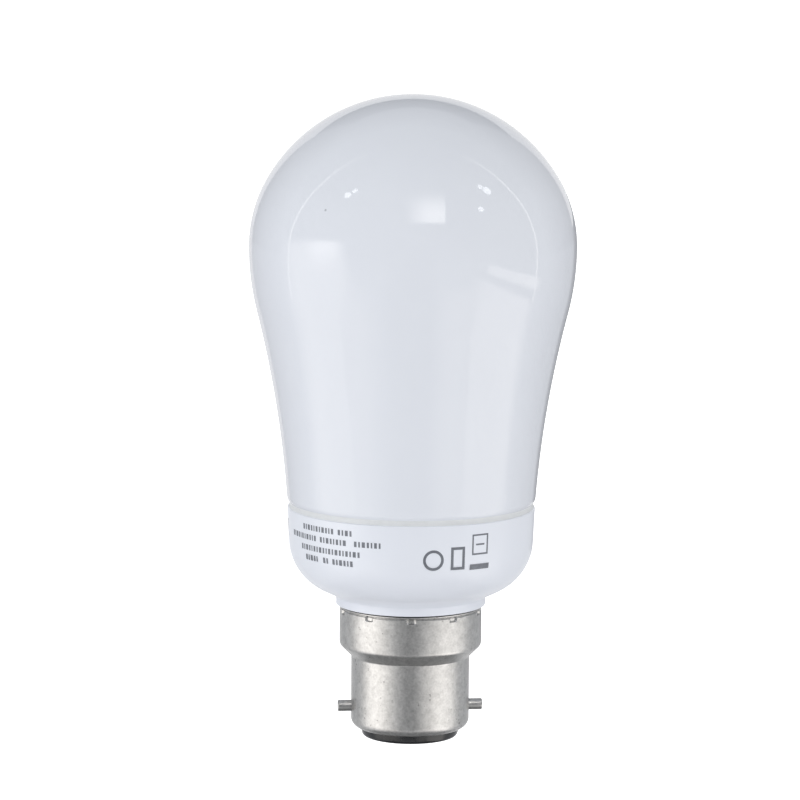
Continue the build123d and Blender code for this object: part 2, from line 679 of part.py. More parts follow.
# Chip resistors on the upper side of the board
for number, place in enumerate(RESISTOR_PLACES, start=1):
    with BuildPart() as chip_resistor:
        with BuildSketch(Plane.XY.offset(BOARD_TOP_Z)):
            with Locations(place):
                Rectangle(RESISTOR_SIZE[0], RESISTOR_SIZE[1])
        extrude(amount=RESISTOR_SIZE[2])

    chip_resistor.part.label = f"chip_resistor_{number}"
    export_step(chip_resistor.part, f"parts/chip_resistor_{number}.step")

# Trigger diode: a glass barrel that lies on the board
with BuildPart() as trigger_diode:
    trigger_z = BOARD_TOP_Z + TRIGGER_RADIUS
    with BuildSketch(Plane.YZ.offset(TRIGGER_PLACE[0])):
        with Locations((TRIGGER_PLACE[1], trigger_z)):
            Circle(TRIGGER_RADIUS)
    extrude(amount=TRIGGER_LENGTH / 2, both=True)

trigger_diode.part.label = "trigger_diode"
export_step(trigger_diode.part, "parts/trigger_diode.step")

# Fusible resistor in the live wire, hanging in the spigot
with BuildPart() as fusible_resistor:
    with BuildSketch(Plane.XY.offset(FUSIBLE_FOOT_Z)):
        with Locations(LIVE_PLACE):
            Circle(FUSIBLE_RADIUS)
    extrude(amount=FUSIBLE_LENGTH)
    with BuildSketch(Plane.XY.offset(FUSIBLE_FOOT_Z)):
        with Locations(LIVE_PLACE):
            Circle(WIRE_RADIUS)
    extrude(amount=LEAD_TOP_Z - FUSIBLE_FOOT_Z)

fusible_resistor.part.label = "fusible_resistor"
export_step(fusible_resistor.part, "parts/fusible_resistor.step")

# Supply wires, each down into its contact's bore: the live one from the foot of the
# fusible resistor, the neutral one from the board, past the smoothing capacitor
wire_routes = {
    "live_wire": [
        (*LIVE_PLACE, FUSIBLE_FOOT_Z),
        (*LIVE_PLACE, WIRE_TURN_Z),
        (0, CONTACT_Y, WIRE_FALL_Z),
        (0, CONTACT_Y, WIRE_FOOT_Z),
    ],
    "neutral_wire": [
        (*NEUTRAL_PLACE, LEAD_TOP_Z),
        (*NEUTRAL_PLACE, WIRE_TURN_Z),
        (0, -CONTACT_Y, WIRE_FALL_Z),
        (0, -CONTACT_Y, WIRE_FOOT_Z),
    ],
}
for name, route in wire_routes.items():
    with BuildPart() as supply_wire:
        with BuildLine():
            path = FilletPolyline(*route, radius=WIRE_BEND)
        with BuildSketch(Plane(origin=path @ 0, z_dir=path % 0)):
            Circle(WIRE_RADIUS)
        sweep(path=path)

    supply_wire.part.label = name
    export_step(supply_wire.part, f"parts/{name}.step")
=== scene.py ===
import json
from itertools import cycle
from math import atan2, cos, hypot, pi, radians, sin, sqrt, tan

import bmesh
import bpy
from mathutils import Matrix, Vector


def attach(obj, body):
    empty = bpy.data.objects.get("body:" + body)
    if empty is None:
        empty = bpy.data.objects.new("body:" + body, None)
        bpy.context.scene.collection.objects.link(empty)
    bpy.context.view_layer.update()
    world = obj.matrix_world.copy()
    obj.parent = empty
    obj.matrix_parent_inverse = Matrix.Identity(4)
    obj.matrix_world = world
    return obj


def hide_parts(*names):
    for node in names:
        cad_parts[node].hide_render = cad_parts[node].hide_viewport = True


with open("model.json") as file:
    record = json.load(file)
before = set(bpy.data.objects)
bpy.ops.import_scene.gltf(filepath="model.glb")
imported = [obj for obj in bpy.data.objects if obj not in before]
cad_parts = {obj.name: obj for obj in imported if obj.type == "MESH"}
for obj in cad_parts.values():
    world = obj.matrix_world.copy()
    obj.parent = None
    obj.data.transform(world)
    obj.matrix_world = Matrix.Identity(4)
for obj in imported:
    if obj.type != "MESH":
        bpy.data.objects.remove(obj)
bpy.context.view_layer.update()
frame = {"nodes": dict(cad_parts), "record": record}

# Sizes are written in millimetres, as on a drawing, and this brings them into metres
MM = 0.001

# Camera: where it stood, and how its picture was framed
CAMERA_DISTANCE = 719.78
CAMERA_HEIGHT = 165.41
CAMERA_PITCH = -8.065
CAMERA_ROUND = -5.3
CAMERA_AIM = 0.175
CAMERA_ROLL = 0.36
CAMERA_LENS = 177.13
SENSOR = 36.0

# Glass: the dome's arcs, the shoulder, the long waist and the corner above the neck
GLASS_TOP_Z = 119.903
CROWN_ARC = 30.946
CROWN_TURN = 60.0
FLANK_ARC = 25.0
FLANK_TURN = 30.0
SHOULDER_ARC = 48.4
SHOULDER_TURN = 14.26
WAIST_ARC = 200.0
WAIST_TURN = 9.96
CORNER_ARC = 2.0
CORNER_TURN = 50.0
NECK_RADIUS = 21.2
NECK_TOP_Z = 43.3
NECK_FOOT_Z = 40.0

# Housing: rim, collar, bowl and cone outside, and the wall's inner side
RIM_Z = 43.7
RIM_RADIUS = 22.93
COLLAR_RADIUS = 22.64
COLLAR_FOOT_Z = 37.13
BOWL_ARC = 10.05
BOWL_TURN = 61.8
FLANGE_RADIUS = 13.9
FLANGE_TOP_Z = 27.05
SEAM_Z = 25.4
SPIGOT_RADIUS = 12.4
SPIGOT_STEP_Z = 23.0
SPIGOT_FOOT_RADIUS = 12.85
SPIGOT_FOOT_Z = 19.6
BORE_RADIUS = 11.55
MOUTH_RADIUS = 21.63
LEDGE_RADIUS = 20.73
LEDGE_Z = 38.6
LEDGE_FOOT_Z = 37.8
INNER_WALL = [(BORE_RADIUS, 27.36), (16.39, 29.69), (19.6, 33.2), (21.1, 36.4)]
RIB_ANGLES = (45, 135, 225, 315)
RIB_MIDDLE = (19.0, 0.0, 32.0)
RIB_SIZE = (4.4, 1.2, 5.6)
RIB_FOOT_LIFT = 4.6

# Cement: the points where its bead lies on the glass, and its hollow face down to the rim
BEAD_ON_GLASS = [(22.231, 44.265), (22.496, 44.492), (22.64, 44.66)]
BEAD_HOLLOW = (22.56, 44.3, 0.5)
BEAD_FOOT_RADIUS = 22.7
BEAD_FOOT_Z = RIM_Z - 0.01

# Cap: skirt, shoulder, barrel and curled foot
SHEET = 0.35
SKIRT_RADIUS = 13.2
BARREL_RADIUS = 11.0
SKIRT_FOOT_Z = 17.8
BARREL_TOP_Z = 15.6
BARREL_FOOT_Z = 3.8
CURL_ARC = 1.8
CURL_TURN = 85.0
SKIRT_BEND = 1.1
BARREL_BEND = 0.45
INNER_BARREL_BEND = 0.3
INNER_BEND_LIFT = 0.145

# Cap: the groove under its lip, the band that the dimples are punched in, and the painted
# shade of the seam under the flange
LIP_FOOT_Z = 24.87
GROOVE_Z = 24.67
GROOVE_DEPTH = 0.26
GROOVE_FOOT_Z = 24.5
GROOVE_BEND = 0.08
LIP_BEND = 0.1
BAND_TOP_Z = 24.4
BAND_FOOT_Z = 23.5
INNER_BAND_TOP_Z = 24.6
INNER_BAND_FOOT_Z = 23.1
PUNCHED_TOP_Z = 25.0
PUNCHED_FOOT_Z = 23.0
SEAM_SHADE_TOP_Z = 25.1
SEAM_SHADE_FOOT_Z = 25.0
DIMPLES = 10
DIMPLE_START = -94.5
DIMPLE_Z = 24.3
DIMPLE_DEPTH = 0.34
DIMPLE_HALF_WIDTH = 0.68
DIMPLE_HALF_HEIGHT = 0.42
DIMPLE_SQUARENESS = 5
DIMPLE_SHARE = 1.28
DIMPLE_SLOPE = 0.5

# Locking pins and base
PIN_Z = 6.0
PIN_RADIUS = 1.05
PIN_FOOT_X = 9.95
PIN_REACH = 13.5
PIN_EDGE = 0.2
HEAD_RADIUS = 1.5
HEAD_THICKNESS = 0.6
HEAD_CORNER = 0.05
INSULATOR_TOP_Z = 4.2
INSULATOR_FACE_Z = 0.35
INSULATOR_RADIUS = 9.2
INSULATOR_STEP_Z = 1.95
INSULATOR_TAPER = 0.35
INSULATOR_EDGE = 0.75
CONTACT_Y = 4.0
CONTACT_FOOT_Z = 0.25
SOLDER_RADIUS = 1.9
SOLDER_SHOULDER_Z = 0.14
SOLDER_FLAT_RADIUS = 0.9

ROUND_STEPS = 192
CAP_STEPS = 480
SMALL_STEPS = 64
SHARP_ANGLE = 32.0
WELD = 0.0005


class Outline:
    """A profile in the X-Z plane, carried on from its tip by runs and arcs."""

    def __init__(self, r, z):
        self.shape = bmesh.new()
        self.tip = self.shape.verts.new((r * MM, 0, z * MM))
        self.first = self.tip
        self.heading = Vector((0, 0, -1))

    def to(self, r, z, edges=1):
        """A straight run to a radius and height, in one edge or more."""
        run = Vector((r * MM, 0, z * MM)) - self.tip.co
        self.heading = run.normalized()
        for _ in range(edges):
            new = bmesh.ops.extrude_vert_indiv(self.shape, verts=[self.tip])
            self.tip = new["verts"][0]
            self.tip.co += run / edges
        return self

    def arc(self, radius, turn, steps):
        """A tangent arc that turns from the last heading, a positive turn to the right."""
        side = 1 if turn > 0 else -1
        right = Vector((self.heading.z, 0, -self.heading.x)) * side
        spun = bmesh.ops.spin(
            self.shape,
            geom=[self.tip],
            cent=self.tip.co + right * radius * MM,
            axis=(0, 1, 0),
            angle=radians(turn),
            steps=steps,
        )
        self.tip = [v for v in spun["geom_last"] if isinstance(v, bmesh.types.BMVert)][0]
        self.heading = Matrix.Rotation(radians(turn), 3, "Y") @ self.heading
        return self

    def rounded(self, corners, end, steps=5):
        """Straight runs through corners given as (radius, height, fillet), up to an end."""
        stops = [*corners, (*end, 0)]
        for (r, z, fillet), (next_r, next_z, _) in zip(stops, stops[1:]):
            corner = Vector((r * MM, 0, z * MM))
            before = (corner - self.tip.co).normalized()
            after = (Vector((next_r * MM, 0, next_z * MM)) - corner).normalized()
            turn = before.angle(after)
            right_hand = before.z * after.x - before.x * after.z > 0
            back = corner - before * fillet * MM * tan(turn / 2)
            self.to(back.x / MM, back.z / MM)
            self.arc(fillet, turn * 180 / pi * (1 if right_hand else -1), steps)
        return self.to(*end)

    def close(self):
        """Joins the tip to the first point, for a wall that the axis doesn't close."""
        self.shape.edges.new((self.tip, self.first))
        return self

    def turned(self, steps=ROUND_STEPS):
        """The solid of this profile turned right round the lamp's axis."""
        shape = self.shape
        bmesh.ops.spin(
            shape,
            geom=shape.verts[:] + shape.edges[:],
            cent=(0, 0, 0),
            axis=(0, 0, 1),
            angle=2 * pi,
            steps=steps,
            use_merge=True,
        )
        bmesh.ops.remove_doubles(shape, verts=shape.verts[:], dist=WELD * MM)
        return shape


def piece(name, shape, material, slot, *nodes):
    """A finished piece of a shape. It rides on the lamp and stands for its CAD nodes."""
    bmesh.ops.recalc_face_normals(shape, faces=shape.faces[:])
    mesh = bpy.data.meshes.new(name)
    shape.to_mesh(mesh)
    shape.free()
    mesh.shade_smooth()
    mesh.set_sharp_from_angle(angle=radians(SHARP_ANGLE))
    mesh.materials.append(material)
    made = bpy.data.objects.new(name, mesh)
    bpy.context.scene.collection.objects.link(made)
    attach(made, "root")
    if nodes:
        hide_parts(*nodes)
    return made


# Shader nodes


def add(tree, kind, sockets=None, **settings):
    """A node with its settings, and its sockets given a value or a link."""
    node = tree.nodes.new(kind)
    for name, value in settings.items():
        setattr(node, name, value)
    for name, value in (sockets or {}).items():
        if isinstance(value, bpy.types.NodeSocket):
            tree.links.new(value, node.inputs[name])
        else:
            node.inputs[name].default_value = value
    return node


def maths(tree, operation, a, b=0.0):
    """The result of one sum on two values or sockets."""
    return add(tree, "ShaderNodeMath", {0: a, 1: b}, operation=operation).outputs[0]


def ramp(tree, value, start, end, low=0.0, high=1.0, kind="LINEAR"):
    """A value brought from one range to another, and held at the ends of the second."""
    sockets = {"Value": value, 1: start, 2: end, 3: low, 4: high}
    return add(tree, "ShaderNodeMapRange", sockets, interpolation_type=kind).outputs[0]


def blend(tree, factor, a, b):
    """One colour changing to another by a factor."""
    node = add(tree, "ShaderNodeMix", data_type="RGBA")
    colours = [s for s in node.inputs if s.type == "RGBA"]
    for socket, value in ((node.inputs[0], factor), (colours[0], a), (colours[1], b)):
        if isinstance(value, bpy.types.NodeSocket):
            tree.links.new(value, socket)
        else:
            socket.default_value = value
    return [s for s in node.outputs if s.type == "RGBA"][0]


def shader_group(name, inputs, outputs):
    """An empty shader node group with its named sockets, and its two end nodes."""
    tree = bpy.data.node_groups.new(name, "ShaderNodeTree")
    for socket_name, kind, value in inputs:
        socket = tree.interface.new_socket(socket_name, in_out="INPUT", socket_type=kind)
        if value is not None:
            socket.default_value = value
    for socket_name, kind in outputs:
        tree.interface.new_socket(socket_name, in_out="OUTPUT", socket_type=kind)
    return tree, add(tree, "NodeGroupInput").outputs, add(tree, "NodeGroupOutput").inputs


FLOAT, VECTOR = "NodeSocketFloat", "NodeSocketVector"


def make_specks():
    """Small scattered specks: a cell of the surface now and then holds one."""
    tree, given, result = shader_group(
        "specks",
        [
            ("Vector", VECTOR, None),
            ("Scale", FLOAT, 600.0),
            ("Size", FLOAT, 0.15),
            ("Share", FLOAT, 0.05),
        ],
        [("Mask", FLOAT)],
    )
    cells = add(
        tree, "ShaderNodeTexVoronoi", {"Vector": given["Vector"], "Scale": given["Scale"]}
    )
    chosen = add(tree, "ShaderNodeSeparateColor", {"Color": cells.outputs["Color"]})
    here = maths(tree, "LESS_THAN", chosen.outputs[0], given["Share"])
    spread = maths(tree, "MULTIPLY", given["Size"], chosen.outputs[1])
    near = maths(tree, "LESS_THAN", cells.outputs["Distance"], spread)
    tree.links.new(maths(tree, "MULTIPLY", here, near), result["Mask"])
    return tree


def make_mottle():
    """Slow unevenness between a low and a high value."""
    tree, given, result = shader_group(
        "mottle",
        [
            ("Vector", VECTOR, None),
            ("Scale", FLOAT, 60.0),
            ("Detail", FLOAT, 3.0),
            ("Low", FLOAT, 0.0),
            ("High", FLOAT, 1.0),
        ],
        [("Value", FLOAT)],
    )
    noise = add(
        tree,
        "ShaderNodeTexNoise",
        {"Vector": given["Vector"], "Scale": given["Scale"], "Detail": given["Detail"]},
    )
    level = ramp(tree, noise.outputs[0], 0.3, 0.7, given["Low"], given["High"])
    tree.links.new(level, result["Value"])
    return tree


def make_scratches():
    """Fine scratches that run round the lamp, finer and longer with a higher stretch."""
    tree, given, result = shader_group(
        "scratches",
        [("Vector", VECTOR, None), ("Scale", FLOAT, 900.0), ("Stretch", FLOAT, 0.04)],
        [("Value", FLOAT)],
    )
    place = add(tree, "ShaderNodeSeparateXYZ", {"Vector": given["Vector"]})
    along = maths(tree, "MULTIPLY", place.outputs[0], given["Stretch"])
    across = maths(tree, "MULTIPLY", place.outputs[1], given["Stretch"])
    drawn = add(
        tree, "ShaderNodeCombineXYZ", {"X": along, "Y": across, "Z": place.outputs[2]}
    )
    noise = add(
        tree,
        "ShaderNodeTexNoise",
        {"Vector": drawn.outputs[0], "Scale": given["Scale"], "Detail": 4.0},
    )
    tree.links.new(noise.outputs[0], result["Value"])
    return tree


SPECKS = make_specks()
MOTTLE = make_mottle()
SCRATCHES = make_scratches()


def use(tree, shared, sockets):
    """One of the shared effects, with this material's own values."""
    return add(tree, "ShaderNodeGroup", sockets, node_tree=shared).outputs[0]


def new_material(name):
    """A material with its shader and the object's own coordinates."""
    material = bpy.data.materials.new(name)
    material.use_nodes = True
    tree = material.node_tree
    shader = tree.nodes["Principled BSDF"]
    place = add(tree, "ShaderNodeTexCoord").outputs["Object"]
    return material, tree, shader, place


def set_bump(tree, shader, height, distance, strength=1.0):
    """Relief of a height field on the shader's normal, its distance in millimetres."""
    bump = add(
        tree,
        "ShaderNodeBump",
        {"Height": height, "Distance": distance * MM, "Strength": strength},
    )
    tree.links.new(bump.outputs[0], shader.inputs["Normal"])


def colour(r, g, b):
    """A colour for a socket, from its linear parts."""
    return (r, g, b, 1.0)


def opal_glass():
    """Opal glass: a cool white coat seen through clear gloss, with a little dust on it, and
    painted shade that darkens it towards its outline.
    """
    material, tree, shader, place = new_material("opal_glass")
    cloud = use(tree, MOTTLE, {"Vector": place, "Scale": 55.0})
    front = blend(tree, cloud, colour(0.755, 0.783, 0.84), colour(0.77, 0.798, 0.853))
    # Painted shade: the coat's colour darkens towards the globe's outline, the more the
    # surface turns away from the view.
    facing_for_painted_shade = add(tree, "ShaderNodeLayerWeight", {"Blend": 0.5}).outputs["Facing"]
    shade = ramp(tree, facing_for_painted_shade, 0.4, 1.0, 0.0, 0.5)
    body = blend(tree, shade, front, colour(0.4, 0.41, 0.46))
    dust = use(
        tree, SPECKS, {"Vector": place, "Scale": 110.0, "Size": 0.07, "Share": 0.25}
    )
    shown = blend(tree, maths(tree, "MULTIPLY", dust, 0.55), body, colour(0.3, 0.31, 0.33))
    tree.links.new(shown, shader.inputs["Base Color"])
    smear = use(
        tree, MOTTLE, {"Vector": place, "Scale": 140.0, "Low": 0.025, "High": 0.055}
    )
    tree.links.new(smear, shader.inputs["Roughness"])
    shader.inputs["IOR"].default_value = 1.5
    ripple = use(tree, MOTTLE, {"Vector": place, "Scale": 38.0, "Detail": 1.0})
    set_bump(tree, shader, ripple, 0.02)
    return material


def housing_plastic():
    """White moulded plastic with a satin skin, faint flow marks and a few dark specks."""
    material, tree, shader, place = new_material("housing_plastic")
    flow = use(tree, MOTTLE, {"Vector": place, "Scale": 85.0})
    body = blend(tree, flow, colour(0.765, 0.795, 0.86), colour(0.778, 0.808, 0.87))
    speck = use(
        tree, SPECKS, {"Vector": place, "Scale": 170.0, "Size": 0.05, "Share": 0.3}
    )
    shown = blend(tree, maths(tree, "MULTIPLY", speck, 0.5), body, colour(0.25, 0.25, 0.27))
    tree.links.new(shown, shader.inputs["Base Color"])
    shader.inputs["Roughness"].default_value = 0.29
    grain = use(tree, MOTTLE, {"Vector": place, "Scale": 700.0, "Detail": 1.0})
    set_bump(tree, shader, grain, 0.001)
    return material


def drawn_metal(name, tone, rough, pits):
    """Satin plated sheet: stains, a fine grain, drawing lines, pits, and painted shade at the
    seam under the flange.
    """
    material, tree, shader, place = new_material(name)
    stain = use(tree, MOTTLE, {"Vector": place, "Scale": 950.0, "Detail": 4.0})
    grain = use(tree, MOTTLE, {"Vector": place, "Scale": 2600.0, "Detail": 3.0})
    patina = maths(tree, "MULTIPLY", maths(tree, "ADD", stain, grain), 0.5)
    dull = tuple(0.64 * part for part in tone)
    body = blend(tree, patina, colour(*dull), colour(*tone))
    pit = use(
        tree, SPECKS, {"Vector": place, "Scale": 1900.0, "Size": 0.42, "Share": pits}
    )
    patch = use(tree, MOTTLE, {"Vector": place, "Scale": 170.0, "Low": -0.9, "High": 1.0})
    worn = add(tree, "ShaderNodeClamp", {0: maths(tree, "MULTIPLY", pit, patch)}).outputs[0]
    pitted = blend(tree, worn, body, colour(0.2, 0.195, 0.19))
    # Painted shade: above the seam's shade heights, the top of the lip under the flange is
    # darkened nearly to black.
    height = add(tree, "ShaderNodeSeparateXYZ", {"Vector": place}).outputs[2]
    painted_seam_shade = ramp(tree, height, SEAM_SHADE_FOOT_Z * MM, SEAM_SHADE_TOP_Z * MM)
    shown = blend(tree, painted_seam_shade, pitted, colour(0.03, 0.03, 0.032))
    tree.links.new(shown, shader.inputs["Base Color"])
    lines = use(tree, SCRATCHES, {"Vector": place, "Scale": 2600.0, "Stretch": 0.05})
    mixed = maths(tree, "ADD", maths(tree, "MULTIPLY", grain, 0.75), lines)
    spread = ramp(tree, mixed, 0.0, 1.5, rough - 0.06, rough + 0.08)
    tree.links.new(spread, shader.inputs["Roughness"])
    shader.inputs["Metallic"].default_value = 1.0
    relief = maths(tree, "SUBTRACT", maths(tree, "MULTIPLY", mixed, 0.4), worn)
    set_bump(tree, shader, relief, 0.014)
    return material


def plain_finish(
    name, tone, rough, metallic=0.0, grain_scale=900.0, relief=0.01, shade=0.78
):
    """The finish of a small piece: an even tone with grain in colour, gloss and relief."""
    material, tree, shader, place = new_material(name)
    grain = use(tree, MOTTLE, {"Vector": place, "Scale": grain_scale, "Detail": 4.0})
    shaded = tuple(shade * part for part in tone)
    tree.links.new(
        blend(tree, grain, colour(*shaded), colour(*tone)), shader.inputs["Base Color"]
    )
    gloss = use(
        tree,
        MOTTLE,
        {"Vector": place, "Scale": grain_scale / 3, "Low": rough - 0.06, "High": rough + 0.08},
    )
    tree.links.new(gloss, shader.inputs["Roughness"])
    shader.inputs["Metallic"].default_value = metallic
    set_bump(tree, shader, grain, relief)
    return material


GLASS = opal_glass()
PLASTIC = housing_plastic()
CAP_METAL = drawn_metal("cap_metal", (0.64, 0.638, 0.63), 0.33, 0.3)
PIN_METAL = drawn_metal("pin_metal", (0.56, 0.56, 0.555), 0.32, 0.12)
SOLDER = drawn_metal("solder", (0.62, 0.62, 0.62), 0.3, 0.2)
CONTACT_METAL = plain_finish("contact_metal", (0.66, 0.5, 0.26), 0.3, 1.0)
BLACK_GLASS = plain_finish("black_glass", (0.012, 0.013, 0.015), 0.12, 0.0, 500.0, 0.006)
CEMENT = plain_finish("cement", (0.705, 0.725, 0.74), 0.45, 0.0, 700.0, 0.002, 0.95)
INK = plain_finish("print_ink", (0.17, 0.185, 0.215), 0.4, 0.0, 1800.0, 0.003)
FINISHES = {
    "contact_metal": CONTACT_METAL,
    "holder_plastic": plain_finish("holder_plastic", (0.68, 0.69, 0.66), 0.5),
    "plated_wire": plain_finish("plated_wire", (0.66, 0.63, 0.58), 0.3, 1.0),
    "board_laminate": plain_finish("board_laminate", (0.34, 0.22, 0.09), 0.6, 0.0, 500.0),
    "capacitor_sleeve": plain_finish("capacitor_sleeve", (0.012, 0.014, 0.02), 0.3),
    "ferrite": plain_finish("ferrite", (0.035, 0.035, 0.037), 0.65, 0.0, 2500.0, 0.02),
    "bobbin_plastic": plain_finish("bobbin_plastic", (0.02, 0.02, 0.02), 0.45),
    "winding_copper": plain_finish("winding_copper", (0.5, 0.16, 0.05), 0.3, 1.0, 1600.0),
    "moulded_black": plain_finish("moulded_black", (0.015, 0.015, 0.016), 0.55, 0.0, 2200.0),
    "film_capacitor_skin": plain_finish("film_capacitor_skin", (0.3, 0.03, 0.012), 0.3),
    "disc_ceramic": plain_finish("disc_ceramic", (0.02, 0.07, 0.3), 0.35),
    "chip_ceramic": plain_finish("chip_ceramic", (0.025, 0.025, 0.03), 0.5),
    "diode_glass": plain_finish("diode_glass", (0.1, 0.2, 0.42), 0.12),
    "resistor_coat": plain_finish("resistor_coat", (0.12, 0.2, 0.14), 0.5),
}


# The visible pieces


def glass_bulb():
    """The globe in one blown run of tangent arcs, closed at its crown and at its foot."""
    outline = Outline(0, GLASS_TOP_Z)
    outline.heading = Vector((1, 0, 0))
    outline.arc(CROWN_ARC, CROWN_TURN, 44)
    outline.arc(FLANK_ARC, FLANK_TURN, 22)
    outline.arc(SHOULDER_ARC, SHOULDER_TURN, 14)
    outline.arc(WAIST_ARC, -WAIST_TURN, 22)
    outline.arc(CORNER_ARC, CORNER_TURN, 8)
    outline.to(NECK_RADIUS, NECK_TOP_Z).to(NECK_RADIUS, NECK_FOOT_Z).to(0, NECK_FOOT_Z)
    return outline.turned()


def housing():
    """The moulding: rim, collar, bowl, cone, flange, spigot, and its wall's inner side."""
    outline = Outline(MOUTH_RADIUS, RIM_Z)
    outline.rounded([(RIM_RADIUS, RIM_Z, 0.22)], (COLLAR_RADIUS, COLLAR_FOOT_Z), 6)
    outline.arc(BOWL_ARC, BOWL_TURN, 26)
    outline.rounded(
        [(FLANGE_RADIUS, FLANGE_TOP_Z, 0.5), (FLANGE_RADIUS, SEAM_Z, 0.12)],
        (SPIGOT_RADIUS, SEAM_Z),
    )
    outline.to(SPIGOT_RADIUS, SPIGOT_STEP_Z).to(SPIGOT_FOOT_RADIUS, SPIGOT_STEP_Z)
    outline.to(SPIGOT_FOOT_RADIUS, SPIGOT_FOOT_Z).to(BORE_RADIUS, SPIGOT_FOOT_Z)
    for corner in INNER_WALL:
        outline.to(*corner)
    outline.to(LEDGE_RADIUS, LEDGE_FOOT_Z).to(LEDGE_RADIUS, LEDGE_Z)
    outline.to(MOUTH_RADIUS, LEDGE_Z).close()
    shape = outline.turned()
    middle = Vector(RIB_MIDDLE) * MM
    place = Matrix.Translation(middle)
    size = Matrix.Diagonal((*(Vector(RIB_SIZE) * MM), 1.0))
    for angle in RIB_ANGLES:
        turn = Matrix.Rotation(radians(angle), 4, "Z")
        rib = bmesh.ops.create_cube(shape, size=1.0, matrix=turn @ place @ size)
        low = [v for v in rib["verts"] if v.co.z < middle.z]
        foot = [v for v in low if v.co.xy.length > middle.x]
        bmesh.ops.translate(shape, verts=foot, vec=(0, 0, RIB_FOOT_LIFT * MM))
    return shape


def cement_bead():
    """The cement round the neck, pressed out into a bead between the glass and the rim."""
    outline = Outline(NECK_RADIUS, NECK_FOOT_Z).to(NECK_RADIUS, NECK_TOP_Z)
    for point in BEAD_ON_GLASS:
        outline.to(*point)
    outline.rounded([BEAD_HOLLOW], (BEAD_FOOT_RADIUS, BEAD_FOOT_Z), 6)
    outline.to(MOUTH_RADIUS, BEAD_FOOT_Z).to(MOUTH_RADIUS, NECK_FOOT_Z).close()
    return outline.turned()


def dimple_depth(angle, height):
    """How deep the crimping punches press the skirt in, at an angle and a height."""
    step = 2 * pi / DIMPLES
    off = (angle - radians(DIMPLE_START) + step / 2) % step - step / 2
    across = abs(off) * SKIRT_RADIUS / DIMPLE_HALF_WIDTH
    along = abs(height - DIMPLE_Z) / DIMPLE_HALF_HEIGHT
    away = (across**DIMPLE_SQUARENESS + along**DIMPLE_SQUARENESS) ** (1 / DIMPLE_SQUARENESS)
    rise = min(max((DIMPLE_SHARE - away) / DIMPLE_SLOPE, 0), 1)
    return DIMPLE_DEPTH * rise * rise * (3 - 2 * rise)


def cap_shell():
    """The drawn sheet: crimped lip, skirt, shoulder, barrel and the curl at its foot."""
    outline = Outline(SKIRT_RADIUS - SHEET, SEAM_Z)
    outline.rounded(
        [
            (SKIRT_RADIUS, SEAM_Z, LIP_BEND),
            (SKIRT_RADIUS, LIP_FOOT_Z, GROOVE_BEND),
            (SKIRT_RADIUS - GROOVE_DEPTH, GROOVE_Z, GROOVE_BEND),
            (SKIRT_RADIUS, GROOVE_FOOT_Z, LIP_BEND),
        ],
        (SKIRT_RADIUS, BAND_TOP_Z),
        3,
    )
    outline.to(SKIRT_RADIUS, BAND_FOOT_Z, 10)
    outline.rounded(
        [
            (SKIRT_RADIUS, SKIRT_FOOT_Z, SKIRT_BEND),
            (BARREL_RADIUS, BARREL_TOP_Z, BARREL_BEND),
        ],
        (BARREL_RADIUS, BARREL_FOOT_Z),
        8,
    )
    outline.arc(CURL_ARC, CURL_TURN, 14)
    inner_arc = CURL_ARC - SHEET
    inner_foot = BARREL_RADIUS - CURL_ARC + inner_arc * cos(radians(CURL_TURN))
    outline.to(inner_foot, BARREL_FOOT_Z - inner_arc * sin(radians(CURL_TURN)))
    outline.heading = Vector((sin(radians(CURL_TURN)), 0, cos(radians(CURL_TURN))))
    outline.arc(inner_arc, -CURL_TURN, 8)
    outline.rounded(
        [
            (BARREL_RADIUS - SHEET, BARREL_TOP_Z + INNER_BEND_LIFT, INNER_BARREL_BEND),
            (SKIRT_RADIUS - SHEET, SKIRT_FOOT_Z + INNER_BEND_LIFT, SKIRT_BEND - SHEET),
        ],
        (SKIRT_RADIUS - SHEET, INNER_BAND_FOOT_Z),
        5,
    )
    outline.to(SKIRT_RADIUS - SHEET, INNER_BAND_TOP_Z, 12).close()
    shape = outline.turned(CAP_STEPS)
    for vert in shape.verts:
        x, y, z = vert.co
        if PUNCHED_FOOT_Z * MM < z < PUNCHED_TOP_Z * MM:
            depth = dimple_depth(atan2(y, x), z / MM) * MM
            reach = hypot(x, y)
            vert.co.x -= x / reach * depth
            vert.co.y -= y / reach * depth
    return shape


def locking_pin(side):
    """A turned stud along X, its tip edge broken, with the rivet head inside the barrel."""
    head_top = PIN_FOOT_X + HEAD_THICKNESS
    outline = Outline(0, PIN_FOOT_X)
    outline.to(HEAD_RADIUS, PIN_FOOT_X).to(HEAD_RADIUS, head_top)
    outline.to(PIN_RADIUS, head_top + HEAD_CORNER)
    outline.rounded([(PIN_RADIUS, PIN_REACH, PIN_EDGE)], (0, PIN_REACH), 5)
    shape = outline.turned(SMALL_STEPS)
    lie = Matrix.Rotation(radians(90 * side), 4, "Y")
    raise_up = Matrix.Translation((0, 0, PIN_Z * MM))
    bmesh.ops.transform(shape, matrix=raise_up @ lie, verts=shape.verts[:])
    return shape


def cap_insulator():
    """The pressed black glass that fills the cap's foot, its face edge softly rounded."""
    outline = Outline(0, INSULATOR_TOP_Z)
    outline.to(BARREL_RADIUS - SHEET, INSULATOR_TOP_Z)
    outline.to(BARREL_RADIUS - SHEET, BARREL_FOOT_Z)
    outline.arc(CURL_ARC - SHEET, CURL_TURN, 8)
    outline.rounded(
        [
            (INSULATOR_RADIUS, INSULATOR_STEP_Z, 0.2),
            (INSULATOR_RADIUS - INSULATOR_TAPER, INSULATOR_FACE_Z, INSULATOR_EDGE),
        ],
        (0, INSULATOR_FACE_Z),
        8,
    )
    return outline.turned()


